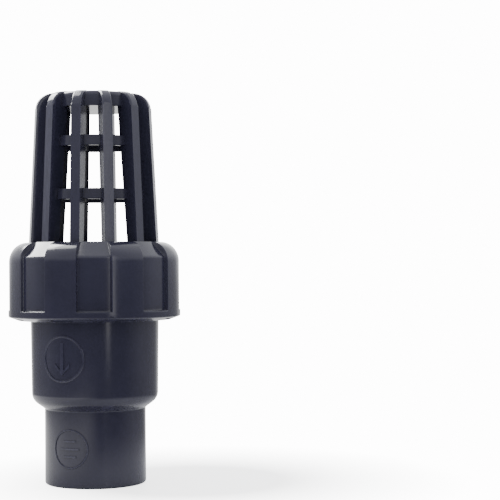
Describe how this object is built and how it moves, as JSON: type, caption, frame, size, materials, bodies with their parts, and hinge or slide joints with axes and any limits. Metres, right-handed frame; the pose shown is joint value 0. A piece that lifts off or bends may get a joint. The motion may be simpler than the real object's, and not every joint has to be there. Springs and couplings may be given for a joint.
{
  "type": "foot valve",
  "caption": "Spring-loaded foot valve for solvent-weld pipe: socketed body, union nut and finned strainer basket over a sealing poppet.",
  "frame": {"origin": "centre of the pipe socket's end face, on which the valve stands", "axes": "+Z along the valve's axis from the pipe socket to the strainer; -Y is the side seen most squarely, with the flow arrow 28 degrees round towards -X"},
  "size_m": [0.0548, 0.0548, 0.1242],
  "materials": {
    "body_plastic": "moulded, semi-gloss, dark blue-grey",
    "nut_plastic": "moulded, semi-gloss, dark blue-grey",
    "basket_plastic": "moulded, semi-gloss, dark blue-grey",
    "trim_plastic": "moulded, satin, grey",
    "seal_rubber": "matt, black",
    "stainless_steel": "drawn wire and turned screw, bright"
  },
  "bodies": {
    "housing": {"body": "body_plastic", "seat_ring": "trim_plastic", "seat_o_ring": "seal_rubber", "stem_guide": "trim_plastic", "return_spring": "stainless_steel"},
    "poppet_assembly": {"poppet": "trim_plastic", "poppet_seal": "seal_rubber", "seal_plate": "trim_plastic", "retainer_screw": "stainless_steel"},
    "strainer": {"strainer_basket": "basket_plastic"},
    "nut": {"union_nut": "nut_plastic"}
  },
  "joints": [
    {"name": "poppet_lift", "type": "slide", "parent": "housing", "child": "poppet_assembly", "axis": [0, 0, 1], "range_m": [-0.006, 0], "stiffness_N_per_m": 120, "springref_m": 0.004, "deforming": ["return_spring"]},
    {"name": "strainer_lift", "type": "slide", "parent": "housing", "child": "strainer", "axis": [0, 0, 1], "range_m": [0, 0.0141]},
    {"name": "nut_turn", "type": "hinge", "parent": "strainer", "child": "nut", "pos_m": [0, 0, 0.064], "axis": [0, 0, 1], "range_deg": [0, 1260]}
  ],
  "couplings": [
    {"joint": "strainer_lift", "follows": "nut_turn", "m_per_rad": 0.00063662}
  ]
}
